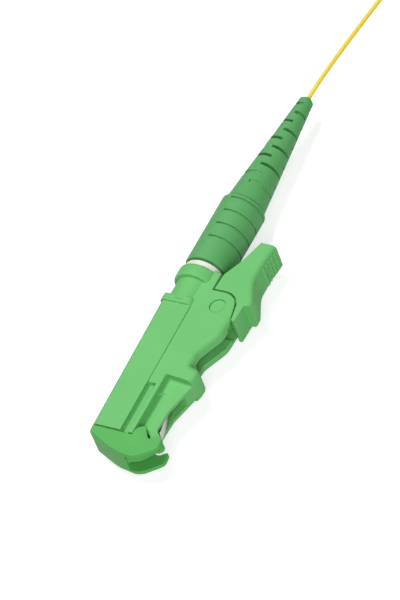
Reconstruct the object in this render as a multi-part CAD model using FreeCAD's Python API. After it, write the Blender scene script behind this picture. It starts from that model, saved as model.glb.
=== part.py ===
"""Simplex fibre-optic plug with a hinged front cap, a rocking release lever and a slotted boot.

Millimetres. The origin is on the fibre's axis, where the ferrule's full width starts at its tip.
+X runs back along the fibre, +Z out of one flat side and -Y towards the lever. A height h is
measured from the fibre's axis towards the lever, so it is -Y. Every solid of the plug itself is
symmetric about the plane z = 0, apart from the boot's slots.
"""

import FreeCAD, Part
import math
import os

V = FreeCAD.Vector

# Ferrule and its sprung holder
ferrule_r = 1.25
ferrule_length = 10.5
ferrule_chamfer = 0.4
ferrule_end_angle = 8.0
ferrule_root_r = 1.0
glass_r = 0.0625
glass_clearance = 0.0015
holder_r = 1.66
holder_grip = 2.0
holder_head = 3.0
holder_tail_r = 0.85
holder_tail_length = 5.6
holder_keys = 4
holder_key_width = 0.5
holder_key_depth = 0.22
float_travel = 1.0
running_clearance = 0.05

# Fibre and the small tube around it
buffer_r = 0.3
lead_clearance = 0.05
guide_tube_r = 0.62
guide_tube_wall = 0.22
guide_tube_tail = 0.3

# Spring behind the ferrule
spring_wire = 0.34
spring_turns = 5.5
spring_seat_gap = 0.05

# Housing
side_half = 2.0
panel_step = 0.15
housing_front = -2.7
housing_bottom = -2.3
nose_rise = 0.45
panel_rear = 16.6
panel_height_rear = 4.05
panel_height_front = 3.8
rim_width = 1.0
rim_step = 0.22
bottom_round = 0.45
top_round = 0.7
neck_r = 2.5
collar_r = 3.05
collar_width = 1.8
collar_rear = 22.2
plate_top = 3.18
plate_bottom = 1.5
sleeve_bore_r = 1.8
slot_half = 0.72
groove_end = 4.8
groove_width = 1.05
groove_depth = 0.5
rib_width = 0.55
pocket_rear = 6.45
pocket_lean = 0.5
pocket_depth = 0.85
track_end = 3.7
track_width = 1.1
track_depth = 0.2
ear_top_x = 15.55
top_mid_x = 13.6
top_mid = 7.4
notch_x = 9.3
notch_floor = 5.9
bridge_x = 6.9
bridge_front = 4.6
bridge_top = 7.25
rail_x = 2.0
rail_drop = 0.15

# Cap hinge
hinge_x = -2.1
hinge_h = 6.1
knuckle_r = 0.62
cap_pin_r = 0.3
cap_pin_half = 1.0
cap_pin_clearance = 0.03
cap_gap = 0.15

# Protective cap
cap_half = 2.05
cap_front = -5.8
cap_wall = 0.75
cap_arm = 0.45
cap_top_half = 1.72
cap_bottom = -1.9
cap_rise = 1.35
cap_mouth = 3.7
cap_round = 0.4
cap_web_half = 0.45
cap_web_inset = 1.1
cap_barrel_r = 0.6
cap_barrel_clearance = 0.06

# Lever
pivot_x = 17.5
pivot_h = 5.0
ear_r = 2.1
ear_slot_half = 1.2
ear_tangent = 80.0
lever_gap = 0.25
lever_heel_gap = 0.42
lever_foot_gap = 0.4
slot_step = 0.15
trunnion_r = 1.0
trunnion_clearance = 0.04
trunnion_recess = 0.2
lever_half = 2.0
lever_nose_x = 15.85
lever_nose_top = 8.1
lever_shoulder_x = 18.35
lever_shoulder_foot = 8.2
lever_shoulder_top = 9.05
lever_pad_low_x = 24.3
lever_pad_low = 7.6
lever_pad_round = 0.6
lever_tip_x = 27.8
lever_tip_top = 7.9
lever_tip_bottom = 5.9
lever_knee_x = 24.5
lever_knee_h = 4.8
lever_channel_half = 1.3
lever_hub_r = 1.55
lever_side_clearance = 0.08
serrations = 5
serration_pitch = 0.66
serration_height = 0.2

# Leaf springs
leaf_thick = 0.14
cap_leaf_half = 0.6
lever_leaf_half = 0.62

# Retainer behind the spring, its crimp sleeve and the boot
retainer_front = 17.2
retainer_r = 2.0
retainer_bore_r = 0.95
retainer_flange_r = 2.65
retainer_flange = 0.8
stem_r = 1.52
stem_length = 7.0
stem_grooves = 6
crimp_wall = 0.25
crimp_length = 5.0
crimp_start_gap = 1.4
boot_gap = 0.3
boot_r = 2.9
boot_shoulder_x = 33.9
boot_cone_r = 2.55
boot_tip_x = 51.8
boot_tip_r = 0.92
boot_tip_round = 0.35
boot_groove_x = (26.8, 28.9, 31.0, 33.05)
boot_groove_width = 0.26
boot_groove_depth = 0.24
boot_groove_half_angle = 103.0
boot_slots = 10
boot_slot_first = 36.4
boot_slot_pitch = 1.55
boot_slot_width = 0.46
boot_slot_angle = 112.0
boot_slot_wall = 0.3
boot_shallow_slots = 2
boot_shallow_depth = 0.2
boot_twist = 57.0

# Free fibre lead: a hand-laid run on the surface, then the put-away coil
rest_z = -collar_r
lead_length = 1000.0
coil_centre = (80.0, -8.2)
coil_mid_r = 5.4
coil_looseness = 1.1
tie_width = 2.2
tie_thick = 0.25


def put(x, h, z=0.0):
    """A point from its place along the fibre, its height towards the lever and its side."""
    return V(x, -h, z)


def plate(outline, z_low, z_high):
    """A flat plate: an outline of (x, h) points, or of ready edges, extruded from z_low to z_high."""
    if isinstance(outline, Part.Wire):
        wire = outline.copy()
        wire.translate(V(0, 0, z_low))
    else:
        points = [put(x, h, z_low) for x, h in outline]
        wire = Part.makePolygon(points + points[:1])
    return Part.Face(wire).extrude(V(0, 0, z_high - z_low))


def both_sides(outline, z_inner, z_outer):
    """The same plate on both sides of the middle plane."""
    near = plate(outline, z_inner, z_outer)
    return near.fuse(plate(outline, -z_outer, -z_inner))


def round_x(x_low, x_high, r, h=0.0):
    """A cylinder along the fibre."""
    return Part.makeCylinder(r, x_high - x_low, put(x_low, h), V(1, 0, 0))


def round_z(x, h, r, z_low, z_high):
    """A cylinder across the plug, parallel to the hinges."""
    return Part.makeCylinder(r, z_high - z_low, put(x, h, z_low), V(0, 0, 1))


def tube_x(x_low, x_high, r_outer, r_inner):
    """A tube along the fibre."""
    return round_x(x_low, x_high, r_outer).cut(round_x(x_low - 1, x_high + 1, r_inner))


def box(x_low, x_high, h_low, h_high, z_low, z_high):
    """A block between two places along the fibre, two heights and two sides."""
    return Part.makeBox(x_high - x_low, h_high - h_low, z_high - z_low, put(x_low, h_high, z_low))


def turned(profile):
    """A solid turned about the fibre's axis from an outline of (x, radius) points."""
    points = [V(x, r, 0) for x, r in profile]
    face = Part.Face(Part.makePolygon(points + points[:1]))
    return face.revolve(V(0, 0, 0), V(1, 0, 0), 360)


def arc(start, middle, end):
    """An arc in the middle plane through three (x, h) points."""
    return Part.Arc(put(*start), put(*middle), put(*end)).toShape()


def line(start, end):
    """A straight edge in the middle plane between two (x, h) points."""
    return Part.makeLine(put(*start), put(*end))


def rounded(points, radii=None):
    """Straight runs joined by tangent arcs of the given radii, or as large as the runs allow."""
    edges = []
    used = []
    start = points[0]
    for i in range(1, len(points) - 1):
        before, corner, after = points[i - 1], points[i], points[i + 1]
        into = (corner - before).normalize()
        out = (after - corner).normalize()
        bend = math.tan(into.getAngle(out) / 2)
        shorter = min((corner - before).Length, (after - corner).Length)
        radius = radii[i - 1] if radii else 0.45 * shorter / bend
        back = radius * bend
        enter = corner - into * back
        leave = corner + out * back
        bisector = (out - into).normalize()
        centre = corner + bisector * math.hypot(radius, back)
        edges.append(Part.makeLine(start, enter))
        edges.append(Part.Arc(enter, centre - bisector * radius, leave).toShape())
        start = leave
        used.append(round(radius, 1))
    edges.append(Part.makeLine(start, points[-1]))
    return edges, used


def soft_run(corners):
    """Edges in the middle plane through (x, h, radius) corners; the first and last are sharp."""
    points = [put(x, h) for x, h, _ in corners]
    return rounded(points, [r for _, _, r in corners[1:-1]])[0]


def near(edge, run):
    """Whether an edge lies along one of the edges of a run, on either side face of a plate."""
    if edge.BoundBox.ZLength > 1e-6:
        return False
    middle = edge.valueAt((edge.FirstParameter + edge.LastParameter) / 2)
    flat = Part.Vertex(V(middle.x, middle.y, 0))
    return min(flat.distToShape(piece)[0] for piece in run) < 1e-4


def round_rims(body, run, r):
    """The body with its rims along a run rounded on both sides."""
    return body.makeFillet(r, [e for e in body.Edges if near(e, run)])


def on_circle(x, h, r, degrees):
    """A point on a circle in the (x, h) plane, counted from +X towards the lever."""
    return x + r * math.cos(math.radians(degrees)), h + r * math.sin(math.radians(degrees))


def single(shape):
    """The one solid of a shape, with seams between its faces removed."""
    clean = shape.removeSplitter()
    return clean.Solids[0] if len(clean.Solids) == 1 else clean


# Places that follow from the driving sizes
rail_top = hinge_h - rail_drop
cap_top = hinge_h + cap_rise
cap_height = cap_top - cap_bottom
lever_foot = pivot_h - lever_hub_r
ear_slot_floor = lever_foot - lever_foot_gap
slot_floor = ear_slot_floor + slot_step
rim_front = panel_rear
rim_rear = rim_front + rim_width
collar_front = collar_rear - collar_width
panel_half = side_half + panel_step
panel_top_rear = housing_bottom + panel_height_rear
panel_top_front = housing_bottom + nose_rise + panel_height_front
groove_high = panel_top_front + groove_width
pocket_low = groove_high + rib_width
pocket_floor = side_half - pocket_depth
ear_front = on_circle(pivot_x, pivot_h, ear_r, ear_tangent)
top_rear = ear_front[1] + (ear_front[0] - ear_top_x) / math.tan(math.radians(ear_tangent))
rail_low = pocket_low + 0.35
holder_front = ferrule_length - holder_grip
holder_back = holder_front + holder_head
tail_end = holder_back + holder_tail_length
flange_rear = collar_rear + retainer_flange
stem_end = flange_rear + stem_length
boot_front = flange_rear + boot_gap
crimp_front = flange_rear + crimp_start_gap
crimp_r = stem_r + crimp_wall
boot_bore_r = crimp_r + running_clearance
boot_bore_end = stem_end + 0.5
boot_lead_r = buffer_r + 0.12
spring_front = holder_back + spring_seat_gap
spring_rear = retainer_front - spring_seat_gap
spring_mid_r = (holder_tail_r + sleeve_bore_r) / 2


# ---------------------------------------------------------------- housing


def top_run():
    """The top's smooth run from the ear, through the latch notch and over the bridge to the rails."""
    return soft_run(
        [
            (ear_top_x, top_rear, 0),
            (top_mid_x, top_mid, 3.0),
            (notch_x + 1.1, notch_floor - 0.1, 1.5),
            (notch_x - 0.75, notch_floor - 0.15, 0.4),
            (notch_x - 1.2, bridge_top, 0.8),
            (bridge_x, bridge_top + 0.05, 3.0),
            (rail_x, rail_top, 0),
        ]
    )


def housing_outline():
    """The side view of the flat-sided part: bottom, plate beside the collar, ear, notch and front."""
    ear_low = (pivot_x + ear_r, plate_top)
    ear_back = (pivot_x + ear_r, pivot_h)
    ear_mid = on_circle(pivot_x, pivot_h, ear_r, ear_tangent / 2)
    corners = [
        (rail_x, rail_top),
        (hinge_x + 0.9, rail_top - 0.15),
        (hinge_x + 0.9, rail_low),
        (housing_front, rail_low),
        (housing_front, housing_bottom + nose_rise),
        (rim_rear, housing_bottom),
        (rim_rear, plate_bottom),
        (collar_rear, plate_bottom),
        (collar_rear, plate_top),
        ear_low,
    ]
    edges = [line(ear_low, ear_back), arc(ear_back, ear_mid, ear_front)]
    edges += [line(ear_front, (ear_top_x, top_rear))] + top_run()
    edges += [line(a, b) for a, b in zip(corners, corners[1:])]
    return Part.Wire(edges)


def bottom_edges(body):
    """The long edges along the housing's bottom, on both sides."""
    highest = -housing_bottom - nose_rise - 1e-6
    return [e for e in body.Edges if e.BoundBox.ZLength < 1e-6 and e.BoundBox.YMin > highest]


def housing_panels():
    """The raised panel on each side, narrowing to the front, and the rounded rim behind it."""
    outline = [
        (housing_front, housing_bottom + nose_rise),
        (housing_front, panel_top_front),
        (panel_rear, panel_top_rear),
        (panel_rear, housing_bottom),
    ]
    panels = plate(outline, -panel_half, panel_half)
    panels = panels.makeFillet(bottom_round, bottom_edges(panels))
    rim_half = panel_half + rim_step
    rim = box(rim_front, rim_rear, housing_bottom - rim_step, panel_top_rear + 0.1, -rim_half, rim_half)
    corners = [e for e in rim.Edges if abs(e.Length - rim_width) < 1e-6]
    rim = rim.makeFillet(0.7, corners)
    return panels.fuse(rim)


def housing_pockets():
    """The recesses at the front of each side: a rail groove, and a pocket with the cap's track."""
    slope = (panel_top_rear - panel_top_front) / (panel_rear - housing_front)
    groove = [
        (housing_front - 1, panel_top_front - slope),
        (groove_end, panel_top_front + slope * (groove_end - housing_front)),
        (groove_end, groove_high),
        (housing_front - 1, groove_high),
    ]
    pocket = [
        (housing_front - 1, pocket_low),
        (pocket_rear, pocket_low),
        (pocket_rear - pocket_lean, bridge_top + 2),
        (housing_front - 1, bridge_top + 2),
    ]
    cuts = both_sides(groove, side_half - groove_depth, panel_half + 1)
    cuts = cuts.fuse(both_sides(pocket, pocket_floor, panel_half + 1))
    track_h = pocket_low + track_width / 2
    low = pocket_floor - track_depth
    for z_low, z_high in ((low, pocket_floor + 0.1), (-pocket_floor - 0.1, -low)):
        track = box(housing_front - 3, track_end, pocket_low, pocket_low + track_width, z_low, z_high)
        cuts = cuts.fuse(track.fuse(round_z(track_end, track_h, track_width / 2, z_low, z_high)))
    return cuts


def housing():
    """The moulded outer body with its rear collar, ears, sleeve bore and top slot."""
    body = round_rims(plate(housing_outline(), -side_half, side_half), top_run(), top_round)
    body = body.makeFillet(bottom_round, bottom_edges(body))
    body = body.fuse(housing_panels())
    body = body.fuse(round_x(rim_rear - 0.5, collar_front + 0.5, neck_r))
    collar = round_x(collar_front, collar_rear, collar_r)
    body = body.fuse(collar.makeFillet(0.3, [collar.Edges[0], collar.Edges[2]]))
    body = body.cut(housing_pockets())
    # the rails run on to the knuckles that carry the cap
    rail = [(hinge_x + 1.0, rail_low), (hinge_x + 1.2, rail_top - 0.1), (hinge_x, hinge_h + 0.45)]
    rail += [(hinge_x - 0.3, hinge_h), (hinge_x, hinge_h - 0.55)]
    body = body.fuse(both_sides(rail, slot_half, pocket_floor))
    for z_low, z_high in ((slot_half, pocket_floor), (-pocket_floor, -slot_half)):
        body = body.fuse(round_z(hinge_x, hinge_h, knuckle_r, z_low, z_high))
    body = body.cut(round_z(hinge_x, hinge_h, cap_pin_r, -cap_pin_half, cap_pin_half))
    # inside: the sleeve bore, the retainer's seat, the top slot and the lever's slot between the ears
    body = body.cut(round_x(housing_front - 2, retainer_front, sleeve_bore_r))
    body = body.cut(round_x(retainer_front - 0.02, collar_rear + 1, retainer_r + 0.02))
    body = body.cut(box(housing_front - 3, bridge_front, 0.0, bridge_top + 3, -slot_half, slot_half))
    body = body.cut(box(notch_x, pivot_x, slot_floor, top_rear + 3, -slot_half, slot_half))
    ear_slot_front = pivot_x - ear_r - 0.5
    half = ear_slot_half
    body = body.cut(box(ear_slot_front, collar_rear + 1, ear_slot_floor, top_rear + 3, -half, half))
    hole = round_z(pivot_x, pivot_h, trunnion_r + trunnion_clearance, -side_half - 1, side_half + 1)
    return single(body.cut(hole))


# ---------------------------------------------------------------- lever


def pad_run():
    """The thumb pad's run from the shoulder down to its low middle and up to the tip."""
    return soft_run(
        [
            (lever_shoulder_x + 0.1, lever_shoulder_top, 0),
            (lever_shoulder_x + 0.95, lever_shoulder_top - 0.03, 0.9),
            (lever_pad_low_x - 2.0, lever_pad_low, 4.0),
            (lever_pad_low_x + 1.0, lever_pad_low, 6.0),
            (lever_tip_x, lever_tip_top, 0),
        ]
    )


def lever_outline():
    """The side view of the rocking lever, from the gap round the ear to the thumb pad's tip."""
    inner_r = ear_r + lever_gap
    start = (pivot_x + inner_r, plate_top + lever_gap)
    back = (pivot_x + inner_r, pivot_h)
    middle = on_circle(pivot_x, pivot_h, inner_r, ear_tangent / 2)
    front = on_circle(pivot_x, pivot_h, inner_r, ear_tangent)
    slope = math.radians(90 - ear_tangent)
    nose = (lever_nose_x, front[1] + (front[0] - lever_nose_x) * math.tan(slope))
    nose_top = (lever_nose_x, lever_nose_top)
    foot = (lever_shoulder_x, lever_shoulder_foot)
    shoulder = (lever_shoulder_x + 0.1, lever_shoulder_top)
    tip_top = (lever_tip_x, lever_tip_top)
    tip_low = (lever_tip_x, lever_tip_bottom)
    knee = (lever_knee_x, lever_knee_h)
    heel = (collar_rear, plate_top + lever_heel_gap)
    corners = [tip_top, tip_low, knee, heel, start]
    edges = [line(start, back), arc(back, middle, front), line(front, nose), line(nose, nose_top)]
    edges += [line(nose_top, foot), line(foot, shoulder)] + pad_run()
    edges += [line(a, b) for a, b in zip(corners, corners[1:])]
    return Part.Wire(edges)


def lever():
    """The release lever: thumb pad with ridges, latch shoulder, hub and the two trunnions."""
    body = plate(lever_outline(), -lever_half, lever_half)
    body = round_rims(body, pad_run(), lever_pad_round)
    for i in range(serrations):
        x = lever_tip_x - 0.75 - i * serration_pitch
        h = lever_pad_low + 0.21 - 0.11 * i + 0.018 * i * i
        ridge = [(x - 0.2, h - 0.5), (x - 0.08, h + serration_height)]
        ridge += [(x + 0.08, h + serration_height), (x + 0.2, h - 0.5)]
        body = body.fuse(plate(ridge, -lever_half + lever_pad_round, lever_half - lever_pad_round))
    # hollow underneath, over the round collar and the boot
    channel_front = pivot_x + ear_r - 0.2
    half = lever_channel_half
    channel = box(channel_front, lever_tip_x - 1.2, 2.5, lever_pad_low - 1.6, -half, half)
    body = body.cut(channel)
    # the hub that reaches between the ears, and its trunnions in the ears' holes
    hub_half = ear_slot_half - lever_side_clearance
    hub = round_z(pivot_x, pivot_h, lever_hub_r, -hub_half, hub_half)
    web = [(pivot_x, lever_foot), (pivot_x - 0.9, pivot_h + 2.6), (lever_shoulder_x, lever_shoulder_foot)]
    web += [(lever_shoulder_x + 4.0, lever_pad_low - 0.4), (collar_rear - 1.0, lever_foot + 0.8)]
    web += [(collar_rear - 1.8, lever_foot)]
    hub = hub.fuse(plate(web, -hub_half, hub_half))
    pins = round_z(pivot_x, pivot_h, trunnion_r, -side_half + trunnion_recess, side_half - trunnion_recess)
    return single(body.fuse(hub).fuse(pins))


# ---------------------------------------------------------------- cap


def cap_run():
    """The cap's outer run from its foot round the front to its crown."""
    return [
        (housing_front - cap_gap, cap_bottom, 0),
        (housing_front - 1.1, cap_bottom + 0.05, 0.6),
        (cap_front + 0.4, cap_bottom + 0.41 * cap_height, 0.65 * cap_height),
        (cap_front - 0.12, cap_bottom + 0.745 * cap_height, 0.235 * cap_height),
        (cap_front + 2.0, cap_top + 0.12, 1.0),
        (hinge_x - 0.4, cap_top - 0.05, 0),
    ]


def cap_outline():
    """The side view of the cap: a beak that curves round the plug's front."""
    rear = housing_front - cap_gap
    foot = (rear, cap_bottom)
    crown = (hinge_x - 0.4, cap_top - 0.05)
    top = (hinge_x - 0.15, cap_top - 0.25)
    notch_r = knuckle_r + cap_gap
    notch_top = on_circle(hinge_x, hinge_h, notch_r, 125)
    notch_mid = on_circle(hinge_x, hinge_h, notch_r, 185)
    notch_low = on_circle(hinge_x, hinge_h, notch_r, 245)
    lobe_mid = (hinge_x + 0.8, hinge_h - 1.4)
    lobe_rear = (hinge_x + 0.43, hinge_h - 2.2)
    lobe_low = (rear, pocket_low + 0.05)
    return Part.Wire(
        soft_run(cap_run())
        + [
            line(crown, top),
            line(top, notch_top),
            arc(notch_top, notch_mid, notch_low),
            line(notch_low, lobe_mid),
            arc(lobe_mid, lobe_rear, lobe_low),
            line(lobe_low, foot),
        ]
    )


def cap():
    """The spring-loaded cap: a front wall, two side arms, and a web that ends in the hinge's barrel."""
    body = plate(cap_outline(), -cap_half, cap_half)
    body = round_rims(body, soft_run(cap_run()), cap_round)
    # the arms lean in a little towards the crown
    spread = [V(cap_front - 1, -cap_bottom, -cap_half), V(cap_front - 1, -cap_bottom, cap_half)]
    spread += [V(cap_front - 1, -cap_top - 1, cap_top_half), V(cap_front - 1, -cap_top - 1, -cap_top_half)]
    body = body.common(Part.Face(Part.makePolygon(spread + spread[:1])).extrude(V(12, 0, 0)))
    inner_half = cap_top_half - cap_arm
    # hollow behind the front wall, open at the back
    wall = cap_wall
    hollow = [
        (housing_front + 3, cap_bottom + wall),
        (housing_front - 0.9, cap_bottom + wall),
        (cap_front + 0.65 + wall, cap_bottom + 0.376 * cap_height),
        (cap_front + wall, cap_mouth),
        (cap_front + wall + 0.35, cap_top + 1),
        (housing_front + 3, cap_top + 1),
    ]
    body = body.cut(plate(hollow, -inner_half, inner_half))
    # the mouth between the arms, above the front wall
    body = body.cut(box(cap_front - 1, housing_front + 3, cap_mouth, cap_top + 1, -inner_half, inner_half))
    # the web in the middle of the mouth, and the barrel between the knuckles
    barrel_half = slot_half - cap_barrel_clearance
    barrel = round_z(hinge_x, hinge_h, cap_barrel_r, -barrel_half, barrel_half)
    root = (cap_front + 0.35, cap_mouth - 0.3)
    last = (hinge_x, hinge_h + cap_barrel_r - 0.05)
    corners = [root + (0,), (cap_front + cap_web_inset, hinge_h - 0.9, 1.6)]
    corners += [(hinge_x - 1.0, hinge_h + 0.4, 0.8), last + (0,)]
    inner = [last, (hinge_x, hinge_h - cap_barrel_r + 0.05), (cap_front + 2.6, cap_mouth - 0.6)]
    inner += [(cap_front + 1.6, cap_mouth - 2.0), (cap_front + 0.75, cap_mouth - 2.0), root]
    edges = soft_run(corners) + [line(a, b) for a, b in zip(inner, inner[1:])]
    web = plate(Part.Wire(edges), -cap_web_half, cap_web_half)
    body = body.fuse([barrel, web])
    hole = round_z(hinge_x, hinge_h, cap_pin_r + cap_pin_clearance, -cap_half - 1, cap_half + 1)
    return single(body.cut(hole))


def cap_hinge_pin():
    """The steel pin through the knuckles and the cap's barrel."""
    pin = round_z(hinge_x, hinge_h, cap_pin_r, -cap_pin_half, cap_pin_half)
    return pin.makeChamfer(0.08, [pin.Edges[0], pin.Edges[2]])


# ---------------------------------------------------------------- springs


def leaf(points, half, thick):
    """A strip spring: a folded line of (x, h) points with rounded bends, thickened upwards."""
    path = Part.makePolygon([put(x, h, -half) for x, h in points])
    upper = [put(x, h + thick, -half) for x, h in reversed(points)]
    outline = Part.makePolygon([v.Point for v in path.Vertexes] + upper + [path.Vertexes[0].Point])
    return Part.Face(outline).extrude(V(0, 0, 2 * half))


def cap_spring():
    """The strip that pushes the cap's barrel shut, held in the top slot."""
    tip = (hinge_x + cap_barrel_r + 0.35, hinge_h - 0.15)
    foot = (bridge_front - 0.05, slot_floor)
    points = [foot, (bridge_front - 0.5, slot_floor + 1.0), (bridge_front - 1.7, tip[1] - 0.75), tip]
    return leaf(points, cap_leaf_half, leaf_thick)


def lever_spring():
    """The strip under the lever's foot that lifts the thumb pad."""
    ear_slot_front = pivot_x - ear_r - 0.5
    lift = lever_foot - 0.04 - leaf_thick
    points = [(notch_x + 1.6, slot_floor), (ear_slot_front + 0.2, slot_floor)]
    points += [(pivot_x - 0.4, ear_slot_floor + 0.03), (collar_rear - 2.0, lift)]
    return leaf(points, lever_leaf_half, leaf_thick)


def ferrule_spring():
    """The round-wire spring that pushes the ferrule forward."""
    length = spring_rear - spring_front - spring_wire
    pitch = length / spring_turns
    helix = Part.makeHelix(pitch, length, spring_mid_r)
    section = Part.Wire(Part.Circle(V(spring_mid_r, 0, 0), V(0, 1, 0), spring_wire / 2).toShape())
    coil = Part.Wire(helix.Edges).makePipeShell([section], True, False)
    coil.rotate(V(0, 0, 0), V(0, 1, 0), 90)
    coil.translate(V(spring_front + spring_wire / 2, 0, 0))
    return coil


# ---------------------------------------------------------------- ferrule group


def ferrule():
    """The ceramic ferrule: full width from x = 0, with a chamfer and an angled end face before it."""
    c = ferrule_chamfer
    r = ferrule_r
    profile = [(-2 * c, 0), (-2 * c, r - c), (-c, r - c), (0, r), (holder_front, r)]
    profile += [(holder_front, ferrule_root_r), (ferrule_length, ferrule_root_r), (ferrule_length, 0)]
    body = turned(profile)
    keep = Part.makeBox(ferrule_length + 4, 8, 8, V(0, -4, -4))
    keep.rotate(V(0, 0, 0), V(0, 0, 1), ferrule_end_angle)
    keep.translate(V(-c, 0, 0))
    body = body.common(keep)
    body = body.cut(round_x(-1, ferrule_length + 1, glass_r + glass_clearance))
    funnel = Part.makeCone(glass_r, buffer_r + lead_clearance, 1.0, put(ferrule_length - 1.0, 0), V(1, 0, 0))
    return single(body.cut(funnel))


def glass_fibre():
    """The bare glass fibre through the ferrule's bore."""
    return round_x(-ferrule_chamfer + 0.02, ferrule_length - 0.05, glass_r)


def ferrule_holder():
    """The metal holder: a keyed head round the ferrule's root and a hollow tail inside the spring."""
    head = round_x(holder_front, holder_back, holder_r)
    tail = round_x(holder_back - 0.1, tail_end, holder_tail_r)
    body = head.makeChamfer(0.15, [head.Edges[0], head.Edges[2]]).fuse(tail)
    for i in range(holder_keys):
        low = holder_r - holder_key_depth
        half = holder_key_width / 2
        key = box(holder_front - 1, holder_front + 1.2, low, holder_r + 1, -half, half)
        key.rotate(V(0, 0, 0), V(1, 0, 0), 45 + i * 360 / holder_keys)
        body = body.cut(key)
    body = body.cut(round_x(holder_front - 1, ferrule_length, ferrule_root_r))
    return single(body.cut(round_x(ferrule_length - 0.1, tail_end + 1, buffer_r + lead_clearance)))


# ---------------------------------------------------------------- rear end


def retainer():
    """The pale rear body: a plug in the housing, a flange behind the collar and a grooved stem."""
    profile = [
        (retainer_front, retainer_bore_r),
        (retainer_front, retainer_r - 0.2),
        (retainer_front + 0.2, retainer_r),
        (collar_rear, retainer_r),
        (collar_rear, retainer_flange_r),
        (flange_rear, retainer_flange_r),
        (flange_rear, stem_r + 0.15),
        (flange_rear + 0.5, stem_r + 0.15),
        (flange_rear + 0.5, stem_r),
        (stem_end, stem_r),
        (stem_end, retainer_bore_r),
    ]
    body = turned(profile)
    pitch = (crimp_length - 1.0) / stem_grooves
    for i in range(stem_grooves):
        x = crimp_front + 0.5 + i * pitch
        body = body.cut(tube_x(x, x + pitch / 2, stem_r + 0.5, stem_r - 0.08))
    return single(body)


def crimp_sleeve():
    """The metal sleeve pressed on the stem."""
    return tube_x(crimp_front, crimp_front + crimp_length, crimp_r, stem_r)


def guide_tube():
    """The small tube that carries the fibre through the stem."""
    start = tail_end + float_travel + 0.3
    return tube_x(start, stem_end + guide_tube_tail, guide_tube_r, guide_tube_r - guide_tube_wall)


def boot_radius(x):
    """The boot's outside radius on its cone."""
    share = (x - boot_shoulder_x) / (boot_tip_x - boot_shoulder_x)
    return boot_cone_r + (boot_tip_r - boot_cone_r) * share


def boot_slot(x, depth, turn):
    """Two opposite slots across the cone, cut to the same depth under its skin."""
    half = boot_slot_width / 2
    outer = boot_radius(x) + 1
    inner = max(boot_radius(x) - depth, boot_lead_r + boot_slot_wall)
    ring = tube_x(x - half, x + half, outer, inner)
    reach = 2 * outer
    spread = math.tan(math.radians(boot_slot_angle / 2))
    wedges = []
    for side in (1, -1):
        points = [V(x, 0, 0), V(x, side * reach, reach * spread), V(x, side * reach, -reach * spread)]
        wedge = Part.Face(Part.makePolygon(points + points[:1])).extrude(V(2 * half, 0, 0))
        wedge.translate(V(-half, 0, 0))
        wedges.append(ring.common(wedge))
    slots = wedges[0].fuse(wedges[1])
    slots.rotate(V(0, 0, 0), V(1, 0, 0), turn)
    return slots


def boot_groove(x):
    """A crescent groove of even depth, as far round from the lever's side as its half angle."""
    half = boot_groove_width / 2
    low = boot_r * math.cos(math.radians(boot_groove_half_angle))
    reach = boot_r + 1
    ring = tube_x(x - half, x + half, reach, boot_r - boot_groove_depth)
    return ring.common(box(x - 1, x + 1, low, reach, -reach, reach))


def boot():
    """The rubber bend relief: a ringed barrel and a tapering tail with staggered slots."""
    profile = [
        (boot_front, boot_bore_r),
        (boot_front, boot_r - 0.15),
        (boot_front + 0.15, boot_r),
        (boot_shoulder_x - 0.4, boot_r),
        (boot_shoulder_x, boot_cone_r),
        (boot_tip_x - boot_tip_round, boot_tip_r),
        (boot_tip_x, boot_tip_r - boot_tip_round),
        (boot_tip_x, boot_lead_r),
        (boot_bore_end + 1.0, boot_lead_r),
        (boot_bore_end, boot_bore_r),
    ]
    body = turned(profile)
    for x in boot_groove_x:
        body = body.cut(boot_groove(x))
    for i in range(boot_slots):
        x = boot_slot_first + i * boot_slot_pitch
        depth = boot_shallow_depth if i < boot_shallow_slots else boot_r
        body = body.cut(boot_slot(x, depth, boot_twist + 90 * ((i + 1) % 2)))
    return single(body)


def fibre_lead():
    """The buffered fibre inside the plug, from behind the ferrule's travel to the boot's tip."""
    return round_x(ferrule_length + float_travel + 0.05, boot_tip_x, buffer_r)


# ---------------------------------------------------------------- free lead


def lead_route():
    """The lead's route by hand: out of the boot, down to the surface and off towards its coil."""
    z = rest_z + buffer_r
    return [
        V(boot_tip_x, 0.0, 0.0),
        V(54.5, 0.0, -0.03),
        V(63.5, -0.05, -1.25),
        V(72.2, -0.2, z + 0.13),
        V(76.2, -0.42, z),
        V(80.4, -0.66, z),
    ]


def lead_tube():
    """The lead's uncoiled stretch, as a plain tube."""
    edges, radii = rounded(lead_route())
    path = Part.Wire(edges)
    heading = lead_route()[1] - lead_route()[0]
    section = Part.Wire(Part.Circle(path.Edges[0].Vertexes[0].Point, heading, buffer_r).toShape())
    tube = path.makePipeShell([section], True, False)
    plain = math.pi * buffer_r**2 * path.Length
    print("lead radii", radii, "length", round(path.Length, 2), "volume", round(tube.Volume / plain, 4))
    return tube, path.Length


def coil_sizes(laid):
    """The put-away coil's count of turns and the thickness of its bundle."""
    turns = (lead_length - laid) / (2 * math.pi * coil_mid_r)
    bundle = math.sqrt(turns) * 2 * buffer_r * coil_looseness
    return turns, bundle


def lead_coil(laid):
    """The outer shape of the put-away coil: a ring with rounded edges, lying on the surface."""
    turns, bundle = coil_sizes(laid)
    x, y = coil_centre
    inner = coil_mid_r - bundle / 2
    outer = coil_mid_r + bundle / 2
    hole = Part.makeCylinder(inner, bundle, V(x, y, rest_z))
    ring = Part.makeCylinder(outer, bundle, V(x, y, rest_z)).cut(hole)
    rims = [e for e in ring.Edges if abs(e.Length - 2 * math.pi * outer) < 0.01]
    rims += [e for e in ring.Edges if abs(e.Length - 2 * math.pi * inner) < 0.01]
    print("coil turns", round(turns, 1), "bundle", round(bundle, 2))
    return ring.makeFillet(bundle * 0.25, rims)


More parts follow.
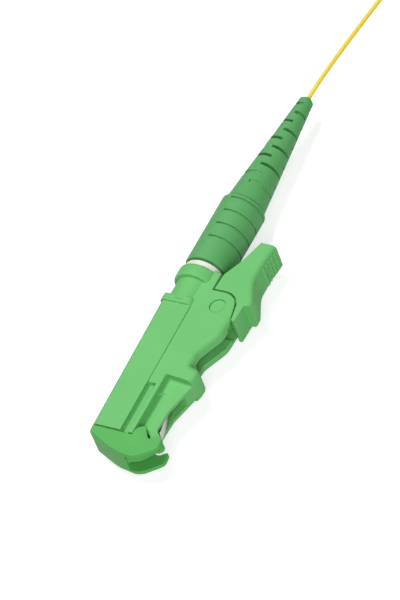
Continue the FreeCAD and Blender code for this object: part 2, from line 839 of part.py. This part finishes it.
def coil_tie(laid, angle):
    """A strip wrapped once round the coil's bundle."""
    bundle = coil_sizes(laid)[1]
    half = bundle / 2
    outer = box(-half - tie_thick, half + tie_thick, -tie_width / 2, tie_width / 2, 0, bundle + tie_thick)
    inner = box(-half, half, -tie_width, tie_width, -1, bundle)
    band = outer.cut(inner)
    band.translate(V(coil_mid_r, 0, 0))
    band.rotate(V(0, 0, 0), V(0, 0, 1), angle)
    band.translate(V(coil_centre[0], coil_centre[1], rest_z))
    return band


def main():
    os.makedirs("parts", exist_ok=True)
    tube, laid = lead_tube()
    parts = {
        "housing": housing(),
        "release_lever": lever(),
        "protective_cap": cap(),
        "cap_hinge_pin": cap_hinge_pin(),
        "cap_spring": cap_spring(),
        "lever_spring": lever_spring(),
        "ferrule": ferrule(),
        "glass_fibre": glass_fibre(),
        "ferrule_holder": ferrule_holder(),
        "ferrule_spring": ferrule_spring(),
        "retainer": retainer(),
        "crimp_sleeve": crimp_sleeve(),
        "guide_tube": guide_tube(),
        "boot": boot(),
        "fibre_lead": fibre_lead(),
        "lead_tube": tube,
        "lead_coil": lead_coil(laid),
        "coil_tie": coil_tie(laid, 20),
    }
    for name, shape in parts.items():
        shape.exportStep("parts/" + name + ".step")
        size = shape.BoundBox
        print(name, "solids", len(shape.Solids), "valid", shape.isValid(), "volume", round(shape.Volume, 2),
              "x", round(size.XMin, 2), round(size.XMax, 2), "y", round(size.YMin, 2), round(size.YMax, 2),
              "z", round(size.ZMin, 2), round(size.ZMax, 2))


main()
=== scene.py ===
# Simplex fibre plug with a hinged front cap, a rocking release lever and a slotted boot
import bpy, bmesh
from math import cos, sin, radians, pi
from mathutils import Matrix, Vector


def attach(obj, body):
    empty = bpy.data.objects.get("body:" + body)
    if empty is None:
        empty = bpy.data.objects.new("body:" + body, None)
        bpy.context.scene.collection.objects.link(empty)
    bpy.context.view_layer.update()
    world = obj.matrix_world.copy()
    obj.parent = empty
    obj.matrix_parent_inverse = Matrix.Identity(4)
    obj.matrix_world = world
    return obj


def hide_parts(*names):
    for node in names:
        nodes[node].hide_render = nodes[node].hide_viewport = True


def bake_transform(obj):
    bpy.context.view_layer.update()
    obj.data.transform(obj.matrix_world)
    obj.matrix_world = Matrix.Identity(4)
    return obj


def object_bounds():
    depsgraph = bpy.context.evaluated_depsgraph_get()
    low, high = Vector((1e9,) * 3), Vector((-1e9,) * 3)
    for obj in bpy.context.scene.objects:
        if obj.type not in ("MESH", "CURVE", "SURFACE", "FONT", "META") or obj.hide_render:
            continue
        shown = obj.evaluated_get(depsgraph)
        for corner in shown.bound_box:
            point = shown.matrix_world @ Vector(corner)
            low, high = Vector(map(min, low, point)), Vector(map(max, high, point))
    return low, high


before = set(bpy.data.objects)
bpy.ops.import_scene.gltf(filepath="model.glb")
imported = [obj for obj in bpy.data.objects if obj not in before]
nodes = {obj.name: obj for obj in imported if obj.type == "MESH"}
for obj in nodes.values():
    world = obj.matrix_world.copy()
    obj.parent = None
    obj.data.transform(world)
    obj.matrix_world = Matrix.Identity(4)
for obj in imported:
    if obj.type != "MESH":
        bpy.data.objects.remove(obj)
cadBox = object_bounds()
mm = 0.001
scene = bpy.context.scene


# Camera: a long lens from over the plug's front corner, rolled to set the plug upright in the frame
camera = {"target": (15.3, -4.8, 5.6), "azimuth": 223.5, "elevation": 46.5, "roll": 22.4,
          "distance": 600.0, "frameHeight": 71.0}


def placeCamera(c):
    az, el = radians(c["azimuth"]), radians(c["elevation"])
    back = Vector((cos(el) * cos(az), cos(el) * sin(az), sin(el)))
    right = Vector((0, 0, 1)).cross(back).normalized()
    turn = Matrix.Rotation(radians(-c["roll"]), 3, back)
    right = turn @ right
    up = back.cross(right)
    data = bpy.data.cameras.new("camera")
    data.sensor_width = 36.0
    data.lens = 36.0 * c["distance"] / c["frameHeight"]
    data.clip_start, data.clip_end = 0.05, 5.0
    eye = bpy.data.objects.new("camera", data)
    scene.collection.objects.link(eye)
    place = Matrix((right, up, back)).transposed().to_4x4()
    place.translation = (Vector(c["target"]) + back * c["distance"]) * mm
    eye.matrix_world = place
    scene.camera = eye


placeCamera(camera)
print("camera placed")


# Lead: tight-buffered fibre, out of the boot, along the surface and wound into a tied coil
lead = {"diameter": 0.6, "length": 1000.0, "rest": -2.75, "coilCentre": (80.0, -8.2), "coilStart": 66.0,
        "inner": 3.95, "pitch": 0.61, "columns": 6, "climb": 0.5, "perTurn": 15, "turns": 28.2}
leadRoute = [(51.8, 0.0, 0.0), (54.5, 0.0, -0.03), (63.5, -0.05, -1.25), (72.2, -0.2, -2.62),
             (76.2, -0.42, -2.75), (80.4, -0.66, -2.75)]


def coilPoints(c):
    # in over one layer and out over the next, with a climb of part of a turn at the end of each layer
    points = []
    across = c["columns"] - 1
    spread = 1 / cos(pi / c["perTurn"])  # the line cuts inside its control points
    cx, cy = c["coilCentre"]
    for i in range(1, int(c["turns"] * c["perTurn"]) + 1):
        turn = i / c["perTurn"]
        layer, part = divmod(turn, across + c["climb"])
        moved = min(part, across)
        column = across - moved if layer % 2 == 0 else moved
        rise = layer + max(0.0, part - across) / c["climb"]
        r = (c["inner"] + c["pitch"] * column) * spread
        angle = radians(c["coilStart"] - 360 * turn)
        points.append((cx + r * cos(angle), cy + r * sin(angle), c["rest"] + c["pitch"] * rise))
    return points


def splineObject(name, points, radius):
    curve = bpy.data.curves.new(name, "CURVE")
    curve.dimensions = "3D"
    spline = curve.splines.new("NURBS")
    spline.points.add(len(points) - 1)
    for p, (x, y, z) in zip(spline.points, points):
        p.co = (x * mm, y * mm, z * mm, 1.0)
        p.radius = radius * mm
    spline.order_u = 3
    spline.use_endpoint_u = True
    spline.resolution_u = 5
    curve.bevel_depth = 1.0  # the points carry the radius
    curve.bevel_resolution = 3
    curve.use_fill_caps = True
    piece = bpy.data.objects.new(name, curve)
    scene.collection.objects.link(piece)
    return piece


fibreCord = splineObject("fibre_cord", leadRoute + coilPoints(lead), lead["diameter"] / 2)
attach(fibreCord, "plug")
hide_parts("lead_tube", "lead_coil")
print("lead laid")


# Coil strap: a strip of woven tape round the coil's bundle, its free end laid over on top
strap = {"angle": 20.0, "inner": 3.56, "outer": 7.38, "top": 0.64, "wide": 2.2, "thick": 0.2, "corner": 0.9,
         "tailLength": 2.7, "tailWide": 2.068, "tailPlace": 5.2, "tailRound": 0.7, "tailGap": 0.01, "rim": 0.05}


def meshObject(name, shape):
    mesh = bpy.data.meshes.new(name)
    shape.to_mesh(mesh)
    shape.free()
    piece = bpy.data.objects.new(name, mesh)
    scene.collection.objects.link(piece)
    return piece


def placeOnCoil(mesh, c):
    # the strap is shaped with the coil's radius along X, then turned to its angle round the coil
    cx, cy = lead["coilCentre"]
    turn = Matrix.Rotation(radians(c["angle"]), 4, "Z")
    bmesh.ops.transform(mesh, matrix=Matrix.Translation((cx, cy, 0)) @ turn, verts=mesh.verts)
    bmesh.ops.scale(mesh, vec=(mm, mm, mm), verts=mesh.verts)


def softenRims(mesh, width, limit=50.0):
    # a small round on every edge that turns by more than the limit
    sharp = [e for e in mesh.edges if e.is_manifold and e.calc_face_angle(0.0) > radians(limit)]
    bmesh.ops.bevel(mesh, geom=sharp, offset=width, offset_type="OFFSET", segments=2, profile=0.5,
                    affect="EDGES", material=-1, clamp_overlap=True)


def coilStrap(c):
    bottom = lead["rest"] - lead["diameter"] / 2
    low, high = c["inner"] - c["thick"], c["outer"] + c["thick"]
    loop = bmesh.new()
    bmesh.ops.create_cube(loop, size=1.0)
    bmesh.ops.scale(loop, vec=(high - low, c["wide"], c["top"] + c["thick"] - bottom), verts=loop.verts)
    bmesh.ops.translate(loop, vec=((low + high) / 2, 0, (bottom + c["top"] + c["thick"]) / 2), verts=loop.verts)
    corners = [e for e in loop.edges if abs(e.verts[0].co.y - e.verts[1].co.y) > c["wide"] / 2]
    bmesh.ops.bevel(loop, geom=corners, offset=c["corner"], offset_type="OFFSET", segments=8, profile=0.5,
                    affect="EDGES", material=-1)
    sides = [f for f in loop.faces if abs(f.normal.y) > 0.9]
    bmesh.ops.delete(loop, geom=sides, context="FACES_ONLY")
    bmesh.ops.solidify(loop, geom=loop.faces[:], thickness=c["thick"])
    softenRims(loop, c["rim"])
    # the free end, rounded at its tip
    tail = bmesh.new()
    bmesh.ops.create_grid(tail, x_segments=1, y_segments=1, size=0.5)
    bmesh.ops.scale(tail, vec=(c["tailLength"], c["tailWide"], 1), verts=tail.verts)
    tip = [v for v in tail.verts if v.co.x < 0]
    bmesh.ops.bevel(tail, geom=tip, offset=c["tailRound"], offset_type="OFFSET", segments=6, profile=0.5,
                    affect="VERTICES", material=-1)
    bmesh.ops.solidify(tail, geom=tail.faces[:], thickness=c["thick"])
    lift = c["top"] + c["thick"] + c["tailGap"] - min(v.co.z for v in tail.verts)
    bmesh.ops.translate(tail, vec=(c["tailPlace"], 0, lift), verts=tail.verts)
    softenRims(tail, c["rim"])
    joined = bpy.data.meshes.new("strap_tail")
    tail.to_mesh(joined)
    tail.free()
    loop.from_mesh(joined)
    bpy.data.meshes.remove(joined)
    bmesh.ops.recalc_face_normals(loop, faces=loop.faces)
    placeOnCoil(loop, c)
    return meshObject("coil_strap", loop)


coilTape = coilStrap(strap)
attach(coilTape, "plug")
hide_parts("coil_tie")
print("coil strapped")


# Ferrule spring: round wire with a closed turn at each end; it shortens as the ferrule slides back
floatSpring = {"front": 11.55, "rear": 17.15, "midRadius": 1.325, "wire": 0.34, "closedTurns": 1, "openTurns": 4,
               "closedPitch": 0.3536, "perTurn": 28, "around": 12}


def wireSpring(name, c):
    spring = bmesh.new()
    bmesh.ops.create_circle(spring, segments=c["around"], radius=c["wire"] / 2)
    bmesh.ops.translate(spring, vec=(c["front"] + c["wire"] / 2, c["midRadius"], 0), verts=spring.verts)
    endTurns = (c["closedTurns"], c["closedPitch"])
    free = c["rear"] - c["front"] - c["wire"] - 2 * c["closedTurns"] * c["closedPitch"]
    section = spring.edges[:]
    for turns, pitch in (endTurns, (c["openTurns"], free / c["openTurns"]), endTurns):
        swept = bmesh.ops.spin(spring, geom=section, cent=(0, 0, 0), axis=(1, 0, 0),
                               dvec=(pitch / c["perTurn"], 0, 0), angle=2 * pi * turns, steps=turns * c["perTurn"])
        section = [g for g in swept["geom_last"] if isinstance(g, bmesh.types.BMEdge)]
    bmesh.ops.holes_fill(spring, edges=[e for e in spring.edges if e.is_boundary], sides=0)
    bmesh.ops.recalc_face_normals(spring, faces=spring.faces)
    for face in spring.faces:
        face.smooth = len(face.verts) == 4
    bmesh.ops.scale(spring, vec=(mm, mm, mm), verts=spring.verts)
    return meshObject(name, spring)


wireCoil = wireSpring("float_spring", floatSpring)
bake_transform(wireCoil)
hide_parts("ferrule_spring")


# Strip springs: bent strips of rolled steel, as places along the fibre and heights towards the lever
leverLeaf = {"path": ((10.9, 3.2), (15.1, 3.2), (17.1, 3.08), (20.2, 3.27)), "half": 0.62, "thick": 0.14,
             "bend": 0.25, "rim": 0.02, "corner": 0.25, "longRun": 1.5, "cuts": 6}
capLeaf = {"path": ((4.55, 3.2), (4.1, 4.2), (2.9, 5.2), (-1.15, 5.95)), "half": 0.6, "thick": 0.14,
           "bend": 0.3, "rim": 0.02, "corner": 0.25, "longRun": 1.5, "cuts": 6}


def stripSpring(name, c):
    strip = bmesh.new()
    path = [strip.verts.new((x, -h, -c["half"])) for x, h in c["path"]]
    runs = [strip.edges.new(pair) for pair in zip(path, path[1:])]
    wide = bmesh.ops.extrude_edge_only(strip, edges=runs)
    moved = [g for g in wide["geom"] if isinstance(g, bmesh.types.BMVert)]
    bmesh.ops.translate(strip, vec=(0, 0, 2 * c["half"]), verts=moved)
    bends = [e for e in strip.edges if not e.is_boundary]
    bmesh.ops.bevel(strip, geom=bends, offset=c["bend"], offset_type="OFFSET", segments=4, profile=0.5,
                    affect="EDGES", material=-1)
    ends = [v for v in strip.verts if len(v.link_faces) == 1]
    bmesh.ops.bevel(strip, geom=ends, offset=c["corner"], offset_type="OFFSET", segments=4, profile=0.5,
                    affect="VERTICES", material=-1)
    # cuts along the long runs let the strip flex
    for edge in [e for e in strip.edges if e.is_boundary and e.calc_length() > c["longRun"]]:
        bmesh.ops.subdivide_edges(strip, edges=[edge], cuts=c["cuts"])
    bmesh.ops.recalc_face_normals(strip, faces=strip.faces)
    bmesh.ops.solidify(strip, geom=strip.faces[:], thickness=-c["thick"])
    softenRims(strip, c["rim"])
    bmesh.ops.scale(strip, vec=(mm, mm, mm), verts=strip.verts)
    return meshObject(name, strip)


leverStrip = stripSpring("lever_leaf", leverLeaf)
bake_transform(leverStrip)
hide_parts("lever_spring")
capStrip = stripSpring("cap_leaf", capLeaf)
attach(capStrip, "plug")
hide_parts("cap_spring")
print("springs wound")


# Materials: moulded plastics, metals, ceramic, glass and woven tape, with patterns sized in millimetres
def linear(hexColour):
    channels = [int(hexColour[i:i + 2], 16) / 255 for i in (1, 3, 5)]
    return tuple(c / 12.92 if c <= 0.04045 else ((c + 0.055) / 1.055) ** 2.4 for c in channels) + (1.0,)


def addNode(tree, kind, settings=None, links=()):
    node = tree.nodes.new(kind)
    for key, value in (settings or {}).items():
        if isinstance(key, str) and hasattr(node, key):
            setattr(node, key, value)
        else:
            node.inputs[key].default_value = value
    for socket, source in links:
        tree.links.new(source, node.inputs[socket])
    return node


def newMaterial(name, settings):
    material = bpy.data.materials.new(name)
    material.use_nodes = True
    tree = material.node_tree
    shader = tree.nodes["Principled BSDF"]
    for key, value in settings.items():
        shader.inputs[key].default_value = value
    return material, tree, shader


def noise(tree, vector, size, detail):
    return addNode(tree, "ShaderNodeTexNoise", {"Scale": size, "Detail": detail}, [("Vector", vector)]).outputs[0]


def between(tree, amount, first, second):
    # one colour running into another
    mixed = addNode(tree, "ShaderNodeMix", {"data_type": "RGBA", 6: linear(first), 7: linear(second)}, [(0, amount)])
    return mixed.outputs[2]


def spreadOf(tree, amount, low, high):
    return addNode(tree, "ShaderNodeMapRange", {"To Min": low, "To Max": high}, [("Value", amount)]).outputs[0]


def mouldedPlastic(name, look):
    # injection-moulded plastic: even colour with faint flow clouding, a fine satin grain (drawn coarser than the
    # real one), and edges that are softened, with a painted highlight that makes them a touch lighter
    material, tree, shader = newMaterial(name, {"IOR": look["ior"], "Roughness": look["roughness"],
                                                "Specular IOR Level": look["gloss"]})
    place = addNode(tree, "ShaderNodeTexCoord").outputs["Object"]
    cloud = noise(tree, place, 1 / (look["cloudSize"] * mm), 3.0)
    grain = noise(tree, place, 1 / (look["grainSize"] * mm), 2.0)
    soft = addNode(tree, "ShaderNodeBevel", {"samples": 6, "Radius": look["edgeRound"] * mm})
    flat = addNode(tree, "ShaderNodeNewGeometry").outputs["Normal"]
    turned = addNode(tree, "ShaderNodeVectorMath", {"operation": "DOT_PRODUCT"}, [(0, soft.outputs[0]), (1, flat)])
    # a mask of the softened edges, where the painted highlight goes
    edge = addNode(tree, "ShaderNodeMapRange", {"From Min": 1.0, "From Max": 0.8, "To Min": 0.0, "To Max": 1.0},
                   [("Value", turned.outputs["Value"])])
    tone = between(tree, cloud, look["colour"], look["clouding"])
    # painted highlight: the edge colour laid over the softened edges
    edgeHighlight = addNode(tree, "ShaderNodeMix", {"data_type": "RGBA", 7: linear(look["edge"])},
                   [(0, edge.outputs[0]), (6, tone)])
    sheen = spreadOf(tree, cloud, look["roughness"] - 0.05, look["roughness"] + 0.06)
    bump = addNode(tree, "ShaderNodeBump", {"Strength": look["grain"], "Distance": 0.02 * mm},
                   [("Height", grain), ("Normal", soft.outputs[0])])
    tree.links.new(edgeHighlight.outputs[2], shader.inputs["Base Color"])
    tree.links.new(sheen, shader.inputs["Roughness"])
    tree.links.new(bump.outputs[0], shader.inputs["Normal"])
    return material


# in each plastic below, the edge colour is a painted highlight along its softened edges
# a glass-filled body: opaque, satin, no hard highlights
leafGreen = mouldedPlastic("moulded_pbt_leaf_green", {
    "colour": "#65b767", "clouding": "#72c474", "edge": "#86d487", "ior": 1.50, "roughness": 0.55, "gloss": 0.2,
    "cloudSize": 6.0, "grainSize": 0.12, "grain": 0.25, "edgeRound": 0.11})
# the cap is its own moulding, in the body's green painted darker: painted shade for its inward-leaning sides
capGreenShaded = mouldedPlastic("moulded_pbt_leaf_green_painted_shade", {
    "colour": "#4fa850", "clouding": "#5eb75e", "edge": "#77cc77", "ior": 1.50, "roughness": 0.55, "gloss": 0.2,
    "cloudSize": 5.0, "grainSize": 0.12, "grain": 0.25, "edgeRound": 0.11})
# the boot's rubber-like plastic: darker and duller than the body
darkGreen = mouldedPlastic("moulded_elastomer_bottle_green", {
    "colour": "#5aa561", "clouding": "#61ae68", "edge": "#70be77", "ior": 1.48, "roughness": 0.58, "gloss": 0.3,
    "cloudSize": 5.0, "grainSize": 0.10, "grain": 0.35, "edgeRound": 0.10})
# undyed plastic: a warm off-white
naturalWhite = mouldedPlastic("moulded_pbt_natural_white", {
    "colour": "#ece9e0", "clouding": "#e6e2d6", "edge": "#f4f2ea", "ior": 1.55, "roughness": 0.4, "gloss": 0.5,
    "cloudSize": 4.0, "grainSize": 0.12, "grain": 0.2, "edgeRound": 0.05})
# the buffer over the fibre: soft, even and a little glossy
leadYellow = mouldedPlastic("extruded_pvc_yellow", {
    "colour": "#ffe759", "clouding": "#ffe154", "edge": "#ffee84", "ior": 1.53, "roughness": 0.38, "gloss": 0.5,
    "cloudSize": 9.0, "grainSize": 0.2, "grain": 0.15, "edgeRound": 0.02})


def drawnMetal(name, look):
    # rolled or turned metal: a bright even body with fine lines along the way it was worked
    material, tree, shader = newMaterial(name, {"Metallic": 1.0, "Roughness": look["roughness"]})
    place = addNode(tree, "ShaderNodeTexCoord").outputs["Object"]
    stretch = tuple(1 / (s * mm) for s in look["lineSize"])
    along = addNode(tree, "ShaderNodeMapping", {"Scale": stretch}, [("Vector", place)])
    lines = noise(tree, along.outputs[0], 1.0, 4.0)
    bump = addNode(tree, "ShaderNodeBump", {"Strength": 0.2, "Distance": 0.01 * mm}, [("Height", lines)])
    tree.links.new(between(tree, lines, look["colour"], look["dark"]), shader.inputs["Base Color"])
    tree.links.new(spreadOf(tree, lines, look["roughness"] - 0.08, look["roughness"] + 0.1),
                   shader.inputs["Roughness"])
    tree.links.new(bump.outputs[0], shader.inputs["Normal"])
    return material


# rolled strip and wire: cool grey with lines along the strip
springSteel = drawnMetal("rolled_stainless_steel", {
    "colour": "#c8c6c2", "dark": "#a09e9a", "roughness": 0.3, "lineSize": (1.5, 1.5, 0.05)})
# plated turned parts: slightly warm, with rings round the axis
nickelBrass = drawnMetal("turned_nickel_plated_brass", {
    "colour": "#cfc9bd", "dark": "#b5ad9e", "roughness": 0.28, "lineSize": (0.06, 1.2, 1.2)})


def groundCeramic():
    # zirconia ferrule: dense white ceramic, ground and polished, a little light passes into it
    material, tree, shader = newMaterial("ground_zirconia", {
        "IOR": 2.1, "Roughness": 0.16, "Subsurface Weight": 0.1, "Subsurface Scale": 0.3 * mm,
        "Specular IOR Level": 0.3})
    place = addNode(tree, "ShaderNodeTexCoord").outputs["Object"]
    rings = addNode(tree, "ShaderNodeMapping", {"Scale": (1 / (0.08 * mm), 1 / mm, 1 / mm)}, [("Vector", place)])
    lines = noise(tree, rings.outputs[0], 1.0, 2.0)
    tree.links.new(between(tree, lines, "#f1f0ec", "#e6e4de"), shader.inputs["Base Color"])
    tree.links.new(spreadOf(tree, lines, 0.12, 0.22), shader.inputs["Roughness"])
    return material


zirconia = groundCeramic()


def drawnGlass():
    # silica fibre: clear, smooth, with a faint tint from the cladding
    material, tree, shader = newMaterial("drawn_silica_glass", {
        "IOR": 1.458, "Roughness": 0.03, "Transmission Weight": 0.9})
    place = addNode(tree, "ShaderNodeTexCoord").outputs["Object"]
    haze = noise(tree, place, 1 / (0.5 * mm), 2.0)
    tree.links.new(between(tree, haze, "#f4fafc", "#e4eef2"), shader.inputs["Base Color"])
    return material


silica = drawnGlass()


def wovenTape(name, look):
    # woven nylon tape: two crossing sets of threads, dull with a soft sheen on the thread crowns
    material, tree, shader = newMaterial(name, {"IOR": 1.53, "Roughness": 0.75, "Sheen Weight": 0.3,
                                                "Sheen Roughness": 0.4})
    place = addNode(tree, "ShaderNodeTexCoord").outputs["Object"]
    # turned with the strap, then leaned so that one set of bands runs over the top and down the side
    lean = radians(45)
    turned = addNode(tree, "ShaderNodeMapping", {
        "vector_type": "TEXTURE", "Rotation": (0, lean, radians(strap["angle"]))}, [("Vector", place)])
    spacing = 2 * pi / (20 * look["thread"] * mm)  # a wave's bands are 2 pi / 20 of its unit apart
    warp, weft = (addNode(tree, "ShaderNodeTexWave", {"bands_direction": way, "Scale": scale},
                          [("Vector", turned.outputs[0])]).outputs["Fac"]
                  for way, scale in (("X", spacing / cos(lean)), ("Y", spacing)))
    cloth = addNode(tree, "ShaderNodeMath", {"operation": "MULTIPLY"}, [(0, warp), (1, weft)]).outputs[0]
    bump = addNode(tree, "ShaderNodeBump", {"Strength": 0.6, "Distance": 0.05 * mm}, [("Height", cloth)])
    tree.links.new(between(tree, cloth, look["dark"], look["colour"]), shader.inputs["Base Color"])
    tree.links.new(bump.outputs[0], shader.inputs["Normal"])
    return material


tapeBlack = wovenTape("woven_nylon_black", {"colour": "#3a3b3d", "dark": "#1c1d1e", "thread": 0.22})

finishes = {"housing": leafGreen, "release_lever": leafGreen, "protective_cap": capGreenShaded, "boot": darkGreen,
            "retainer": naturalWhite, "guide_tube": naturalWhite, "cap_hinge_pin": springSteel,
            "cap_spring": springSteel, "lever_spring": springSteel, "ferrule_spring": springSteel,
            "ferrule_holder": nickelBrass, "crimp_sleeve": nickelBrass, "ferrule": zirconia, "glass_fibre": silica,
            "fibre_lead": leadYellow, "lead_tube": leadYellow, "lead_coil": leadYellow, "coil_tie": tapeBlack}
for name, material in finishes.items():
    node = nodes[name]
    node.data.materials.clear()
    node.data.materials.append(material)
fibreCord.data.materials.append(leadYellow)
coilTape.data.materials.append(tapeBlack)
for spring in (wireCoil, leverStrip, capStrip):
    spring.data.materials.append(springSteel)
print("materials made")


# Stage: a pale floor under the plug and soft lamps
stage = {"floorSize": 1200.0, "floorTone": "#c4c4c4", "floorGlow": 0.68, "gap": 0.002, "centre": 20.0,
         "fadeStart": 150.0, "fadeEnd": 300.0, "roomLight": 0.29}
lamps = ({"name": "key_lamp", "place": (90, 190, 460), "aim": (20, 0, 0), "size": 260, "power": 2.05},
         {"name": "fill_lamp", "place": (-280, -260, 300), "aim": (20, 0, 0), "size": 380, "power": 1.85})


def backgroundRays(tree):
    # 1 where the camera, a mirror-like surface or glass looks, so that all three see the white background
    path = addNode(tree, "ShaderNodeLightPath")
    seen = addNode(tree, "ShaderNodeMath", {"operation": "MAXIMUM"},
                   [(0, path.outputs["Is Camera Ray"]), (1, path.outputs["Is Glossy Ray"])])
    seen = addNode(tree, "ShaderNodeMath", {"operation": "MAXIMUM"},
                   [(0, seen.outputs[0]), (1, path.outputs["Is Transmission Ray"])])
    return seen.outputs[0]


def makeStage(s):
    grid = bmesh.new()
    bmesh.ops.create_grid(grid, x_segments=1, y_segments=1, size=s["floorSize"] * mm)
    bmesh.ops.translate(grid, verts=grid.verts, vec=(s["centre"] * mm, 0, cadBox[0][2] - s["gap"] * mm))
    floor = meshObject("floor", grid)
    # a matt painted board: no gloss, so that only the soft shadow shows on it
    material, tree, shader = newMaterial("painted_board", {"Roughness": 0.9, "Base Color": linear(s["floorTone"])})
    # background rays see plain white away from the shadow
    white = addNode(tree, "ShaderNodeEmission", {"Strength": s["floorGlow"]})
    both = addNode(tree, "ShaderNodeAddShader", {}, [(0, shader.outputs[0]), (1, white.outputs[0])])
    # far from the plug the floor runs out into the same white as the room
    place = addNode(tree, "ShaderNodeTexCoord").outputs["Object"]
    away = addNode(tree, "ShaderNodeVectorMath", {"operation": "LENGTH"}, [(0, place)])
    fade = addNode(tree, "ShaderNodeMapRange", {"From Min": s["fadeStart"] * mm, "From Max": s["fadeEnd"] * mm},
                   [("Value", away.outputs["Value"])])
    blank = addNode(tree, "ShaderNodeEmission", {"Strength": 1.0})
    plain = addNode(tree, "ShaderNodeMixShader", {},
                    [(0, fade.outputs[0]), (1, both.outputs[0]), (2, blank.outputs[0])])
    pick = addNode(tree, "ShaderNodeMixShader", {},
                   [(0, backgroundRays(tree)), (1, shader.outputs[0]), (2, plain.outputs[0])])
    tree.links.new(pick.outputs[0], tree.nodes["Material Output"].inputs["Surface"])
    floor.data.materials.append(material)


def makeLamp(c):
    data = bpy.data.lights.new(c["name"], "AREA")
    data.shape = "DISK"
    data.size = c["size"] * mm
    data.energy = c["power"]
    lamp = bpy.data.objects.new(c["name"], data)
    scene.collection.objects.link(lamp)
    place = Vector(c["place"])
    turn = (place - Vector(c["aim"])).to_track_quat("Z", "Y")
    lamp.matrix_world = Matrix.Translation(place * mm) @ turn.to_matrix().to_4x4()


def makeRoom(light):
    # the room gives a soft light of its own and shows as white
    world = bpy.data.worlds.new("soft_room")
    world.use_nodes = True
    tree = world.node_tree
    level = spreadOf(tree, backgroundRays(tree), light, 1.0)
    tree.links.new(level, tree.nodes["Background"].inputs["Strength"])
    scene.world = world


makeStage(stage)
for lampSettings in lamps:
    makeLamp(lampSettings)
makeRoom(stage["roomLight"])
scene.view_settings.view_transform = "Standard"
print("stage lit")
